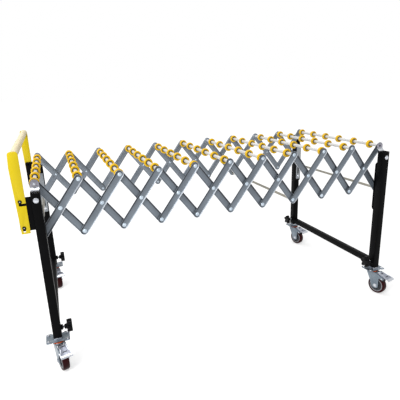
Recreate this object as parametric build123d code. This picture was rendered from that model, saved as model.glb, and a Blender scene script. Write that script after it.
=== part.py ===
from build123d import *
from math import atan2, cos, degrees, hypot, pi, radians, sin
import os

os.makedirs("parts", exist_ok=True)

# Expanding skate-wheel conveyor, pulled out to its full length.
# Millimetres. +X runs along the conveyor away from the handle, +Y runs away from the near side, +Z is up.
# The origin is on the floor, under the middle of the lattice.

# Lattice
bay_count = 10
bay_pitch = 150.0
lattice_rise = 200.0
lattice_width = 650.0
axle_height = 724.0
bar_back_width = 22.0
bar_width = 31.0
bar_depth = 5.0
bar_sheet = 2.0
bar_well_width = 21.2
bar_mouth_width = 26.6
layer_gap = 0.5
pin_radius = 4.0
pin_end = 1.5
running_clearance = 0.05
seat_gap = 0.3
tie_rod_radius = 6.0
tied_bottoms = (1, 8, 11)

# Flats round what repeats by the dozen: skate wheels, bar ends, pins and the holes round them
wheel_sides = 14
end_sides = 12
caster_wheel_sides = 32
pin_sides = 8
hole_sides = 6
bolt_sides = 6

# Skate wheels
wheels_per_row = 6
skate_wheel_radius = 18.5
skate_wheel_width = 14.0
first_wheel_inset = 20.0
last_wheel_inset = 28.0
row_stagger = 42.0
sleeve_radius = 7.0
far_set_rows = (2, 4, 6, 8, 10, 11)

# Legs
leg_size = 32.0
leg_depth = 40.0
leg_wall = 1.5
leg_stand_off = 10.0
leg_top_drop = 22.0
foot_show = 8.0
crossbar_height = 30.0
crossbar_depth = 25.0
crossbar_lift = 7.0

# Head straps that carry the end axles
strap_gap = 1.0
strap_thickness = 3.0
strap_play = 0.5
ear_radius = 16.0
ledge_fall = 9.0
strap_tail = 44.0
leg_bolt_drop = 48.0
bolt_head_radius = 7.5
bolt_head_height = 5.0

# Slotted guides for the end bottom pivots
guide_width = 34.0
guide_thickness = 3.0
guide_slope = 12.0
guide_top_drop = 76.0
guide_bottom_drop = 302.0
slide_strip_width = 26.0
slide_strip_thickness = 2.2
slot_play = 0.5
slot_travel = 54.0
guide_pin_end = 2.0
guide_bolt_margin = 31.0
guide_nut_height = 3.5

# Pull handle
handle_front = 18.5
handle_top_half = 14.5
handle_shoulder = 18.0
handle_shoulder_drop = 42.0
handle_foot_half = 11.0
handle_corner = 8.0
handle_thickness = 4.0
handle_setback = 35.5
handle_rise = 114.0
handle_top_margin = 10.0
handle_foot_drop = 162.0
handle_gap = 0.5
grip_radius = 14.0
grip_forward = 4.0
handle_pin_drop = 46.0
handle_pin_spacing = 94.0
handle_pin_radius = 4.0
handle_pin_head_radius = 6.5
handle_pin_head_height = 2.5
handle_slot_play = 0.5
handle_lift = 12.0
bracket_thickness = 4.0
bracket_inset = 4.0
bracket_margin = 13.0
bracket_corner = 8.0

# Sliding inner legs and their clamp knobs
inner_leg_play = 0.3
inner_leg_wall = 1.5
inner_leg_length = 330.0
knob_rise = 32.0
boss_radius = 11.0
boss_length = 8.0
knob_screw_radius = 5.0
knob_neck_radius = 10.0
knob_neck_length = 14.0
knob_radius = 27.0
knob_thickness = 20.0
knob_lobe_radius = 9.0
knob_lobes = 5

# Casters
caster_height = 122.0
caster_plate_length = 88.0
caster_plate_depth = 66.0
caster_plate_thickness = 6.0
plate_bolt_margin = 9.0
plate_bolt_radius = 6.0
plate_bolt_height = 4.0
race_radius = 24.0
race_height = 5.5
dust_ring_radius = 23.5
dust_ring_height = 2.5
king_pin_radius = 6.0
king_nut_radius = 10.0
king_nut_height = 6.0
crown_thickness = 3.5
crown_back = 22.0
crown_front = 24.0
fork_wall = 3.0
fork_side_gap = 2.0
fork_foot_radius = 14.0
caster_trail = 31.0
caster_wheel_radius = 42.5
caster_wheel_width = 28.0
caster_wheel_chamfer = 4.0
caster_axle_radius = 5.0
axle_nut_radius = 9.0
axle_nut_height = 5.0

# Brake pedals
pedal_hub_radius = 5.5
pedal_pin_radius = 2.5
pedal_wheel_gap = 5.0
pedal_bearing = 56.0
pedal_reach = 40.0
pedal_play = 0.3
pedal_toe_width = 46.0
pedal_ear_radius = 7.5
shoe_start = -5.0
shoe_length = 10.0
shoe_depth = 18.0
shoe_bearing = 46.0
shoe_gap = 0.5
pedal_plate_shares = (
    (-0.62, 0.56), (-0.62, 0.64), (0.10, 0.45), (0.90, 0.20), (1.02, 0.06), (0.95, 0.03), (0.84, 0.13),
    (0.12, 0.35), (0.10, 0.00), (-0.10, 0.00), (-0.12, 0.42),
)
pedal_toe_shares = ((0.30, 0.30), (0.30, 0.39), (0.90, 0.20), (1.02, 0.06), (0.95, 0.03), (0.84, 0.13))
caster_heading = -75.0

# Places that follow from the sizes above
columns = range(1, bay_count + 2)
bays = range(1, bay_count + 1)
last_column = bay_count + 1
link_length = hypot(bay_pitch, lattice_rise)
link_angle = degrees(atan2(lattice_rise, bay_pitch))
skate_wheel_span = lattice_width - first_wheel_inset - last_wheel_inset - row_stagger
skate_wheel_pitch = skate_wheel_span / (wheels_per_row - 1)
outer_bar = lattice_width / 2
outer_bar_inside = outer_bar - bar_depth
inner_bar = outer_bar_inside - layer_gap
inner_bar_inside = inner_bar - bar_depth
rivet_end = outer_bar_inside + bar_sheet + pin_end
bottom_height = axle_height - lattice_rise
strap_face = outer_bar + strap_gap
leg_face = outer_bar + leg_stand_off
leg_middle = leg_face + leg_depth / 2
leg_outside = leg_face + leg_depth
leg_extra = leg_depth - leg_size
leg_top = axle_height - leg_top_drop
leg_bottom = caster_height + foot_show
bore_half = leg_size / 2 - leg_wall
inner_leg_half = bore_half - inner_leg_play
knob_height = leg_bottom + knob_rise
web_face = strap_face + slide_strip_thickness
web_back = web_face + guide_thickness
guide_pin_reach = web_back + guide_pin_end
last_sleeve_end = outer_bar_inside - seat_gap
bracket_face = leg_outside - bracket_inset
bracket_back = bracket_face - bracket_thickness
caster_wheel_corner = caster_wheel_radius / cos(pi / caster_wheel_sides)
handle_face = bracket_face + handle_gap
handle_back = handle_face + handle_thickness


def column_x(column):
    """The place along X of a column of pivots, counted from 1 at the handle end."""
    return (column - (last_column + 1) / 2) * bay_pitch


def along_y(outline, start, end):
    """Extrude an outline drawn in X and Z from one Y to another."""
    return extrude(Plane.XZ.offset(-start) * outline, amount=end - start, dir=Axis.Y.direction)


def along_x(outline, start, end):
    """Extrude an outline drawn in Y and Z from one X to another."""
    return extrude(Plane.YZ.offset(start) * outline, amount=end - start, dir=Axis.X.direction)


def along_z(outline, start, end):
    """Extrude an outline drawn in X and Y from one Z to another."""
    return extrude(Pos(0, 0, start) * outline, amount=end - start, dir=Axis.Z.direction)


def far_and_near(*shapes):
    """The far-side shapes together with their mirror images on the near side."""
    return [*shapes, *(mirror(shape, about=Plane.XZ) for shape in shapes)]


def peg(radius, sides=pin_sides):
    """The outline of a faceted peg whose corners lie on the radius."""
    return RegularPolygon(radius, sides)


def round_flats(radius, sides=end_sides):
    """A faceted round whose flats touch the radius, with flats square to both axes."""
    return RegularPolygon(radius / cos(pi / sides), sides, rotation=180 / sides)


def peg_hole(radius, sides=hole_sides):
    """The outline of a faceted hole whose flats clear a pin of this radius."""
    return RegularPolygon((radius + running_clearance) / cos(pi / sides), sides)


def write(node, *shapes):
    """Write one node's solids to its STEP file."""
    solids = [solid for shape in shapes for solid in shape.solids()]
    export_step(Compound(solids), f"parts/{node}.step")


# Lattice links

def bar_outline(place, width, depth):
    """The outline of a bar with round ends, drawn at one depth."""
    end = round_flats(width / 2)
    reach = link_length / 2
    outline = make_hull((Pos(-reach, 0) * end).edges() + (Pos(reach, 0) * end).edges())
    return (Plane.XZ.offset(-depth) * place * outline).face()


def pressed_bar(turn, holes, back):
    """A bar at the lattice's middle, pressed to a tray that opens outwards, with holes in its web."""
    place = Pos(0, axle_height - lattice_rise / 2) * Rot(0, 0, turn)
    front = back + bar_depth
    floor = back + bar_sheet
    bar = loft([bar_outline(place, bar_back_width, back), bar_outline(place, bar_width, front)], ruled=True)
    well = [bar_outline(place, bar_well_width, floor), bar_outline(place, bar_mouth_width, front)]
    bar -= loft(well, ruled=True)
    for hole in holes:
        bar -= along_y(place * Pos(hole * link_length / 2, 0) * peg_hole(pin_radius), back, floor)
    return bar


def bay_middle(bay):
    """The place along X of a bay's centre pivots."""
    return (column_x(bay) + column_x(bay + 1)) / 2


def pin_at(x, z, start, end):
    """A faceted pin along Y."""
    return along_y(Pos(x, z) * peg(pin_radius), start, end)


def bottom_rod(column, end):
    """A rod that ties the near and far bottom pivots of one column."""
    return along_y(Pos(column_x(column), bottom_height) * round_flats(tie_rod_radius), -end, end)


def falling_link(bay):
    """The inner pair of bars, from a top pivot down to the next bottom pivot, with the axle they carry."""
    web_front = inner_bar_inside + bar_sheet
    last = bay == bay_count
    bar = Pos(bay_middle(bay), 0, 0) * (last_falling_bar if last else falling_bar)
    bar += pin_at(bay_middle(bay), axle_height - lattice_rise / 2, web_front, rivet_end)
    bar += pin_at(column_x(bay), axle_height, web_front, guide_pin_reach if bay == 1 else rivet_end)
    sleeve = Pos(column_x(bay), axle_height) * Circle(sleeve_radius)
    rods = [along_y(sleeve, -inner_bar_inside, inner_bar_inside)]
    if last:
        bar += pin_at(column_x(last_column), bottom_height, web_front, guide_pin_reach)
        rods.append(bottom_rod(last_column, inner_bar_inside))
    return [*far_and_near(bar), *rods]


def rising_link(bay):
    """The outer pair of bars, from a bottom pivot up to the next top pivot, with their bottom pins."""
    bar = Pos(bay_middle(bay), 0, 0) * rising_bar
    web_front = outer_bar_inside + bar_sheet
    pin_start = inner_bar_inside - (seat_gap if bay in tied_bottoms else pin_end)
    rod_end = inner_bar_inside - seat_gap
    if bay == 1:
        bar += pin_at(column_x(bay), bottom_height, web_front, guide_pin_reach)
        rod_end = outer_bar_inside
    else:
        bar += pin_at(column_x(bay), bottom_height, pin_start, outer_bar_inside)
    rods = [bottom_rod(bay, rod_end)] if bay in tied_bottoms else []
    return [*far_and_near(bar), *rods]


falling_bar = pressed_bar(-link_angle, (1,), inner_bar_inside)
last_falling_bar = pressed_bar(-link_angle, (), inner_bar_inside)
rising_bar = pressed_bar(link_angle, (0, 1), outer_bar_inside)


def wheel_row(column):
    """The skate wheels of one axle."""
    nearest = -outer_bar + first_wheel_inset + (row_stagger if column in far_set_rows else 0)
    rim = RegularPolygon(skate_wheel_radius, wheel_sides) - peg_hole(sleeve_radius)
    middles = [nearest + place * skate_wheel_pitch for place in range(wheels_per_row)]
    half = skate_wheel_width / 2
    return [along_y(Pos(column_x(column), axle_height) * rim, y - half, y + half) for y in middles]


# End frames: side is +1 for the frame at the far end from the handle and -1 for the handle's frame

def hex_bolt(x, z, start, end, head_start):
    """A bolt along Y with a hexagon head of the leg bolts' size."""
    shank = along_y(Pos(x, z) * peg(pin_radius), start, end)
    head = Pos(x, z) * RegularPolygon(bolt_head_radius, bolt_sides)
    return shank + along_y(head, head_start, head_start + bolt_head_height)


def leg_tube(x, inward):
    """A leg tube, deeper across than along, with its head bolt's and clamp screw's holes and the boss."""
    bore = 2 * bore_half
    section = Rectangle(leg_size, leg_depth) - Rectangle(bore, bore + leg_extra)
    tube = along_z(Pos(x, leg_middle) * section, leg_bottom, leg_top)
    tube -= along_y(Pos(x, axle_height - leg_bolt_drop) * peg_hole(pin_radius), leg_middle, leg_outside)
    screw_way = Pos(leg_middle, knob_height) * peg_hole(knob_screw_radius)
    face = x + inward * leg_size / 2
    boss = Pos(leg_middle, knob_height) * peg(boss_radius)
    tube += along_x(boss, face, face + inward * boss_length)
    return tube - along_x(screw_way, x, face + inward * boss_length)


def crossbar(x):
    """The rectangular tube that joins the two legs of a frame."""
    wall = 2 * leg_wall
    section = Rectangle(crossbar_depth, crossbar_height)
    section -= Rectangle(crossbar_depth - wall, crossbar_height - wall)
    middle = leg_bottom + crossbar_lift + crossbar_height / 2
    return along_y(Pos(x, middle) * section, -leg_face, leg_face)


def guide_slot(x):
    """The outline of the slot in which an end bottom pivot slides."""
    end = round_flats(pin_radius + slot_play)
    lower_end = Pos(0, -slot_travel) * end
    return Pos(x, bottom_height) * make_hull(end.edges() + lower_end.edges())


def guide_bracket(x):
    """The bent bracket between a leg and the lattice, slotted for the bottom pivot."""
    top = axle_height - guide_top_drop
    bottom = axle_height - guide_bottom_drop
    profile = Polygon(
        (leg_face, top), (web_face, top - guide_slope),
        (web_face, bottom + guide_slope), (leg_face, bottom),
        (leg_face, bottom + guide_thickness), (web_back, bottom + guide_slope + guide_thickness),
        (web_back, top - guide_slope - guide_thickness), (leg_face, top - guide_thickness),
        align=None,
    )
    bracket = along_x(profile, x - guide_width / 2, x + guide_width / 2)
    bracket -= along_y(guide_slot(x), web_face, web_back)
    return bracket - along_y(guide_bolt_place(x) * peg_hole(pin_radius), web_face, web_back)


def guide_bolt_place(x):
    """Where the lower bolt of a guide goes through it."""
    return Pos(x, axle_height - guide_bottom_drop + guide_bolt_margin)


def slide_strip(x):
    """The slotted strip on the lattice side of a guide bracket."""
    top = axle_height - guide_top_drop - guide_slope
    bottom = axle_height - guide_bottom_drop + guide_slope
    strip = Pos(x, (top + bottom) / 2) * Rectangle(slide_strip_width, top - bottom)
    strip -= guide_slot(x)
    strip -= guide_bolt_place(x) * peg_hole(pin_radius)
    return along_y(strip, strap_face, web_face)


def guide_bolt(x):
    """The bolt that holds a slide strip to its bracket, with its nut."""
    place = axle_height - guide_bottom_drop + guide_bolt_margin
    head_start = strap_face - bolt_head_height
    nut_end = web_back + guide_nut_height
    nut = along_y(guide_bolt_place(x) * RegularPolygon(bolt_head_radius, bolt_sides), web_back, nut_end)
    return hex_bolt(x, place, head_start, nut_end, head_start) + nut


def head_strap(x):
    """The bent strap that stands in a leg's top and carries the end axle in its round ear."""
    tail_half = bore_half - strap_play
    tail_face = leg_face + leg_wall + strap_play
    tail_back = tail_face + strap_thickness
    ear_back = strap_face + strap_thickness
    seat = leg_top + seat_gap
    ledge = Polygon(
        (strap_face, axle_height), (ear_back, axle_height),
        (ear_back, seat + ledge_fall + strap_thickness),
        (tail_back, seat + strap_thickness), (tail_back, seat),
        (tail_face, seat), (strap_face, seat + ledge_fall),
        align=None,
    )
    strap = along_x(ledge, x - ear_radius, x + ear_radius)
    strap += along_y(Pos(x, axle_height) * Circle(ear_radius), strap_face, ear_back)
    strap -= along_y(Pos(x, axle_height) * peg_hole(pin_radius), strap_face, ear_back)
    tail = Pos(x, (tail_face + tail_back) / 2) * Rectangle(2 * tail_half, strap_thickness)
    strap += along_z(tail, leg_top - strap_tail, seat)
    return strap - along_y(Pos(x, axle_height - leg_bolt_drop) * peg_hole(pin_radius), tail_face, tail_back)


def strap_bolt(x):
    """The hexagon bolt through the leg and the strap's tail."""
    return hex_bolt(x, axle_height - leg_bolt_drop, leg_face + leg_wall, leg_outside, leg_outside)


def frame_legs(x, inward):
    """The painted part of an end frame: two legs, their crossbar and the guide brackets."""
    return [*far_and_near(leg_tube(x, inward), guide_bracket(x)), crossbar(x)]


# Pull handle, carried on two brackets behind the handle-end legs

def handle_x():
    """The place along X of the handle's pins and grip."""
    return column_x(1) - leg_size / 2 - handle_setback


def handle_pin_height(index):
    """The height of a handle pin: 0 is the upper one and 1 the lower."""
    return axle_height - handle_pin_drop - index * handle_pin_spacing


def handle_bracket():
    """The plate behind a leg that carries the two handle pins."""
    left = handle_x() - bracket_margin
    right = column_x(1) - leg_size / 2
    bottom = handle_pin_height(1) - bracket_margin
    top = handle_pin_height(0) + bracket_margin
    outline = Polygon((left, bottom), (right, bottom), (right, top), (left, top), align=None)
    outline = chamfer(outline.vertices().group_by(Axis.X)[0], bracket_corner)
    for index in (0, 1):
        outline -= Pos(handle_x(), handle_pin_height(index)) * peg_hole(handle_pin_radius)
    return along_y(outline, bracket_back, bracket_face)


def handle_pin(index):
    """A headed pin through a bracket and the handle's slot."""
    place = Pos(handle_x(), handle_pin_height(index))
    head_start = handle_back + handle_gap
    head_end = head_start + handle_pin_head_height
    head = along_y(place * peg(handle_pin_head_radius, end_sides), head_start, head_end)
    return along_y(place * peg(handle_pin_radius), bracket_back, head_start) + head


def handle_bar():
    """A flat handle bar with a shoulder, round top corners, a J slot on the upper pin and a slot below."""
    x = handle_x()
    foot = axle_height - handle_foot_drop
    grip_height = axle_height + handle_rise
    top = grip_height + handle_top_margin
    bar = Polygon(
        (x - handle_foot_half, foot), (x + handle_front, foot), (x + handle_front, grip_height),
        (x + handle_top_half, top), (x - handle_top_half, top),
        (x - handle_shoulder, grip_height - handle_shoulder_drop),
        align=None,
    )
    bar = fillet(bar.vertices().group_by(Axis.Y)[-1], handle_corner)
    end = round_flats(handle_pin_radius + handle_slot_play)
    for index in (0, 1):
        upper_end = Pos(x, handle_pin_height(index)) * end
        lower_end = Pos(0, -handle_lift) * upper_end
        bar -= make_hull(upper_end.edges() + lower_end.edges())
    slot_width = 2 * (handle_pin_radius + handle_slot_play)
    mouth = Rectangle(handle_front, slot_width, align=(Align.MIN, Align.CENTER))
    bar -= Pos(x, handle_pin_height(0) - handle_lift) * mouth
    return along_y(bar, handle_face, handle_back)


def grip():
    """The round grip between the two handle bars."""
    middle = Pos(handle_x() + grip_forward, axle_height + handle_rise)
    return along_y(middle * Circle(grip_radius), -handle_face, handle_face)


# Sliding inner legs, knobs and casters, built at the leg's axis and then placed

def caster_places():
    """Each corner's name, leg position and the side its knob faces."""
    corners = []
    for end, column, inward in (("left", 1, 1), ("right", last_column, -1)):
        for name, y in (("near", -leg_middle), ("far", leg_middle)):
            corners.append((f"{name}_{end}", column_x(column), y, inward))
    return corners


def inner_leg():
    """An inner leg tube with its foot plate, plate bolts, swivel race, dust ring, king pin and nut."""
    size = 2 * inner_leg_half
    bore = size - 2 * inner_leg_wall
    section = Rectangle(size, size + leg_extra) - Rectangle(bore, bore + leg_extra)
    tube = along_z(section, caster_height, caster_height + inner_leg_length)
    plate_bottom = caster_height - caster_plate_thickness
    race_bottom = plate_bottom - race_height
    ring_bottom = race_bottom - dust_ring_height
    crown_bottom = ring_bottom - seat_gap - crown_thickness
    nut_top = crown_bottom - seat_gap
    plate = Rectangle(caster_plate_length, caster_plate_depth)
    foot = along_z(chamfer(plate.vertices(), plate_bolt_margin / 2), plate_bottom, caster_height)
    foot += along_z(Circle(race_radius), race_bottom, plate_bottom)
    foot += along_z(peg(dust_ring_radius, wheel_sides), ring_bottom, race_bottom)
    foot += along_z(peg(king_pin_radius), nut_top, ring_bottom)
    foot += along_z(RegularPolygon(king_nut_radius, bolt_sides), nut_top - king_nut_height, nut_top)
    spread = (caster_plate_length - 2 * plate_bolt_margin, caster_plate_depth - 2 * plate_bolt_margin)
    for place in GridLocations(*spread, 2, 2):
        bolt = place * RegularPolygon(plate_bolt_radius, bolt_sides)
        foot += along_z(bolt, caster_height, caster_height + plate_bolt_height)
    return [tube, foot]


def pedal_pivot():
    """The brake pedal's pivot: how far out from the swivel axis and how high."""
    reach = caster_wheel_radius + pedal_wheel_gap + pedal_hub_radius
    bearing = radians(pedal_bearing)
    return caster_trail + reach * cos(bearing), caster_wheel_radius + reach * sin(bearing)


def fork():
    """A caster fork trailing along +X: crown, two cheeks, wheel axle with nuts and the pedal's pin."""
    crown_top = caster_height - caster_plate_thickness - race_height - dust_ring_height - seat_gap
    crown_bottom = crown_top - crown_thickness
    inside = caster_wheel_width / 2 + fork_side_gap
    outside = inside + fork_wall
    top_edge = Line((-crown_back, crown_top), (crown_front, crown_top))
    cheek_foot = Pos(caster_trail, caster_wheel_radius) * round_flats(fork_foot_radius)
    ear = Pos(*pedal_pivot()) * round_flats(pedal_ear_radius)
    front_edge = Line((0, crown_top), (crown_front, crown_top))
    cheek = make_hull([top_edge.edge(), *cheek_foot.edges()]) + make_hull([front_edge.edge(), *ear.edges()])
    cheeks = along_y(cheek, -outside, -inside) + along_y(cheek, inside, outside)
    middle = (crown_front - crown_back) / 2
    crown = Pos(middle, 0) * Rectangle(crown_front + crown_back, 2 * inside) + round_flats(race_radius)
    crown -= peg_hole(king_pin_radius)
    body = cheeks + along_z(crown, crown_bottom, crown_top)
    wheel_pin = Pos(caster_trail, caster_wheel_radius)
    nut = wheel_pin * RegularPolygon(axle_nut_radius, bolt_sides)
    body += along_y(wheel_pin * Circle(caster_axle_radius), -outside, outside)
    body += along_y(nut, outside, outside + axle_nut_height)
    body += along_y(nut, -outside - axle_nut_height, -outside)
    return body + along_y(Pos(*pedal_pivot()) * peg(pedal_pin_radius), -inside, inside)


def caster_wheel():
    """A caster wheel with chamfered shoulders."""
    half = caster_wheel_width / 2
    middle = Pos(caster_trail, caster_wheel_radius)
    wheel = along_y(middle * round_flats(caster_wheel_radius, caster_wheel_sides), -half, half)
    sides = wheel.edges().filter_by(Axis.Y, reverse=True)
    wheel = chamfer(sides, caster_wheel_chamfer)
    return wheel - along_y(middle * peg_hole(caster_axle_radius, end_sides), -half, half)


def scaled(shares, size):
    """Points given as shares of one size."""
    return [(across * size, up * size) for across, up in shares]


def pedal():
    """A brake pedal trailing along +X: hub, bent plate, wide toe and a flat shoe close over the tread."""
    half = caster_wheel_width / 2 + fork_side_gap - pedal_play
    pivot = Pos(*pedal_pivot())
    outline = Polygon(*scaled(pedal_plate_shares, pedal_reach), align=None)
    plate = pivot * (Circle(pedal_hub_radius) + outline)
    shoe = pivot * Pos(shoe_start + shoe_length / 2, -shoe_depth / 2) * Rectangle(shoe_length, shoe_depth)
    shoe -= Pos(caster_trail, caster_wheel_radius) * Rot(0, 0, shoe_bearing) * Rectangle(
        caster_wheel_corner + shoe_gap, 2 * caster_wheel_corner, align=(Align.MIN, Align.CENTER))
    plate += shoe
    plate -= pivot * peg_hole(pedal_pin_radius)
    toe = pivot * Polygon(*scaled(pedal_toe_shares, pedal_reach), align=None)
    return along_y(plate, -half, half) + along_y(toe, -pedal_toe_width / 2, pedal_toe_width / 2)


def knob(inward):
    """A star clamp knob along X with its neck and screw, measured from the leg's axis."""
    face = leg_size / 2
    neck_start = face + boss_length + seat_gap
    star_start = neck_start + knob_neck_length
    lobes = PolarLocations(knob_radius - knob_lobe_radius, knob_lobes) * peg(knob_lobe_radius)
    star = RegularPolygon(knob_radius - knob_lobe_radius, 2 * knob_lobes) + lobes
    body = along_x(peg(knob_screw_radius), inward * bore_half, inward * neck_start)
    body += along_x(peg(knob_neck_radius), inward * neck_start, inward * star_start)
    return body + along_x(star, inward * star_start, inward * (star_start + knob_thickness))


# Write every node

for bay in bays:
    write(f"link_falling_{bay:02d}", *falling_link(bay))
    write(f"link_rising_{bay:02d}", *rising_link(bay))

for column in columns:
    write(f"wheel_row_{column:02d}", *wheel_row(column))

for end, column, inward in (("left", 1, 1), ("right", last_column, -1)):
    x = column_x(column)
    straps = far_and_near(head_strap(x), strap_bolt(x))
    if end == "left":
        straps += far_and_near(handle_pin(0), handle_pin(1))
    else:
        sleeve = along_y(Pos(x, axle_height) * Circle(sleeve_radius), -last_sleeve_end, last_sleeve_end)
        straps.append(sleeve + far_and_near(pin_at(x, axle_height, last_sleeve_end, guide_pin_reach)))
    write(f"{end}_legs", *frame_legs(x, inward))
    write(f"{end}_straps", *straps)
    write(f"{end}_guides", *far_and_near(slide_strip(x), guide_bolt(x)))

write("handle_brackets", *far_and_near(handle_bracket()))
write("handle_bars", *far_and_near(handle_bar()))
write("handle_grip", grip())

for corner, x, y, inward in caster_places():
    place = Pos(x, y, 0)
    turned = place * Rot(0, 0, caster_heading)
    write(f"inner_leg_{corner}", *(place * shape for shape in inner_leg()))
    write(f"knob_{corner}", Pos(x, y, knob_height) * knob(inward))
    write(f"fork_{corner}", turned * fork())
    write(f"caster_wheel_{corner}", turned * caster_wheel())
    write(f"pedal_{corner}", turned * pedal())
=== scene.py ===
import bmesh
import bpy
from math import acos, atan2, cos, hypot, pi, radians, sin
from mathutils import Matrix, Vector


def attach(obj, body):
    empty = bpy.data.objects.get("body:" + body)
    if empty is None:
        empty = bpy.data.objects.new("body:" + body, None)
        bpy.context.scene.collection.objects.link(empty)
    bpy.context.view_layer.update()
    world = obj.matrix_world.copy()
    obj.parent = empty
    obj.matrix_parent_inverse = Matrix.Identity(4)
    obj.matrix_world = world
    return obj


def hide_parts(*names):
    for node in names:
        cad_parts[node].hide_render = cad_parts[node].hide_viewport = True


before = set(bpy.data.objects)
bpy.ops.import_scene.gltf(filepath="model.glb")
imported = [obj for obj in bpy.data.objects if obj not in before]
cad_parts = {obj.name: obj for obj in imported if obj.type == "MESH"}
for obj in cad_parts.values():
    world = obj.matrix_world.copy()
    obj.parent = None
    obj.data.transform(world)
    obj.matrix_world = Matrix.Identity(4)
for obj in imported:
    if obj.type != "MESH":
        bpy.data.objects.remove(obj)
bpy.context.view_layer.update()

# Sizes in millimetres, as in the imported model, except the floor's reach in metres
BAYS = 10
PITCH = 150.0
RISE = 200.0
AXLE = 724.0
BOTTOM = AXLE - RISE
CENTRE = AXLE - RISE / 2
HALF = 325.0
INNER_BACK = 314.5
OUTER_BACK = 320.0
BAR_SHEET = 2.0
WHEELS_PER_ROW = 6
WHEEL_PITCH = 112.0
FIRST_WHEEL = 20.0
STAGGER = 42.0
SLEEVE_RADIUS = 7.0
SLEEVE_AT_WHEEL = 6.0
ROD_RADIUS = 6.0
LEG = 32.0
LEG_DEPTH = 40.0
LEG_FACE = HALF + 10.0
LEG_MIDDLE = LEG_FACE + LEG_DEPTH / 2
LEG_OUT = LEG_FACE + LEG_DEPTH
LEG_TOP = AXLE - 22.0
LEG_FOOT = 130.0
LEG_WALL = 1.5
LEG_CORNER = 3.4
CROSSBAR = (25.0, 30.0)
CROSSBAR_LIFT = 22.0
CLAMP = LEG_FOOT + 32.0
LEG_BOLT = AXLE - 48.0
GUIDE_BOLT = AXLE - 271.0
SLOT_HALF = 27.0
SLOT_MIDDLE = BOTTOM - SLOT_HALF
STRAP_FACE = HALF + 1.0
WEB_FACE = STRAP_FACE + 2.2
WEB_BACK = WEB_FACE + 3.0
PIN_REACH = WEB_BACK + 2.0
BOTTOM_HEAD = OUTER_BACK + 2.6
TOP_HEAD = OUTER_BACK + 3.0
WASHER = OUTER_BACK + 2.5
CENTRE_WASHER = OUTER_BACK + 2.4
PIN_END = OUTER_BACK + 3.2
RIVET_END = OUTER_BACK + 3.4
HANDLE_X = -PITCH * 5 - LEG / 2 - 35.5
UPPER_PIN = AXLE - 46.0
LOWER_PIN = UPPER_PIN - 94.0
LIFT = 12.0
GRIP = (HANDLE_X + 4.0, AXLE + 114.0)
HANDLE_FACE = LEG_OUT - 4.0 + 0.5
RIB_COUNT = 73
RIB_PITCH = 10.0
KNOB_LOBES = 5
LOBE_STEPS = 12
CASTER = 122.0
PLATE_BOLT = (34.5, 22.0)
CHEEK = 17.5
CHEEK_OUT = CHEEK + 1.5
TRAIL = 31.0
ROLL = 42.5
HEADING = radians(-75)
PEDAL_PIVOT = (TRAIL + 53.0 * cos(radians(56)), ROLL + 53.0 * sin(radians(56)))
LINK_ANGLE = atan2(RISE, PITCH)
LINK = hypot(PITCH, RISE)
MM_PER_M = 1000
FLOOR_REACH = 40
SMOOTH = radians(35)


def column_x(column):
    """The place along X of a column of pivots, 1 at the handle end."""
    return (column - 6) * PITCH


# Finishes


def finish_nodes(name):
    """A new material with its shader, and the node tree to add its pattern to."""
    material = bpy.data.materials.new(name)
    material.use_nodes = True
    tree = material.node_tree
    return material, tree, tree.nodes["Principled BSDF"]


def join(tree, *links):
    """Link sockets: each link is a node, its output, another node and its input."""
    for source, output, target, socket in links:
        tree.links.new(source.outputs[output], target.inputs[socket])


def grain(tree, scale, detail=4.0, stretch=(1, 1, 1)):
    """Noise in the object's own coordinates, stretched along an axis for drawn or brushed grain."""
    place = tree.nodes.new("ShaderNodeTexCoord")
    mapping = tree.nodes.new("ShaderNodeMapping")
    mapping.inputs["Scale"].default_value = stretch
    noise = tree.nodes.new("ShaderNodeTexNoise")
    noise.inputs["Scale"].default_value = scale
    noise.inputs["Detail"].default_value = detail
    join(tree, (place, "Object", mapping, "Vector"), (mapping, "Vector", noise, "Vector"))
    return noise.outputs["Fac"]


def ramp(tree, value, stops):
    """A colour ramp on a value: stops are (position, colour)."""
    node = tree.nodes.new("ShaderNodeValToRGB")
    for index, (position, colour) in enumerate(stops):
        element = node.color_ramp.elements[index] if index < 2 else node.color_ramp.elements.new(position)
        element.position = position
        element.color = (*colour, 1)
    tree.links.new(value, node.inputs["Fac"])
    return node.outputs["Color"]


def spread(tree, value, low, high):
    """A value brought from the middle of the noise's range to a low and a high."""
    node = tree.nodes.new("ShaderNodeMapRange")
    node.inputs["From Min"].default_value = 0.3
    node.inputs["From Max"].default_value = 0.7
    node.inputs["To Min"].default_value = low
    node.inputs["To Max"].default_value = high
    tree.links.new(value, node.inputs["Value"])
    return node.outputs["Result"]


def relief(tree, shader, value, strength, distance):
    """Bump from a value."""
    bump = tree.nodes.new("ShaderNodeBump")
    bump.inputs["Strength"].default_value = strength
    bump.inputs["Distance"].default_value = distance
    tree.links.new(value, bump.inputs["Height"])
    tree.links.new(bump.outputs["Normal"], shader.inputs["Normal"])


def plated(name, dark, pale, rough=(0.28, 0.42), scale=14.0, stretch=(1, 1, 1), metal=1.0):
    """Zinc or nickel plate: cloudy colour, uneven gloss and a fine drawn grain."""
    material, tree, shader = finish_nodes(name)
    shader.inputs["Metallic"].default_value = metal
    cloud = grain(tree, scale, 5.0, stretch)
    tree.links.new(ramp(tree, cloud, ((0.3, dark), (0.7, pale))), shader.inputs["Base Color"])
    fine = grain(tree, 260.0, 3.0, stretch)
    tree.links.new(spread(tree, fine, *rough), shader.inputs["Roughness"])
    relief(tree, shader, fine, 0.12, 0.0004)
    return material


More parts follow.
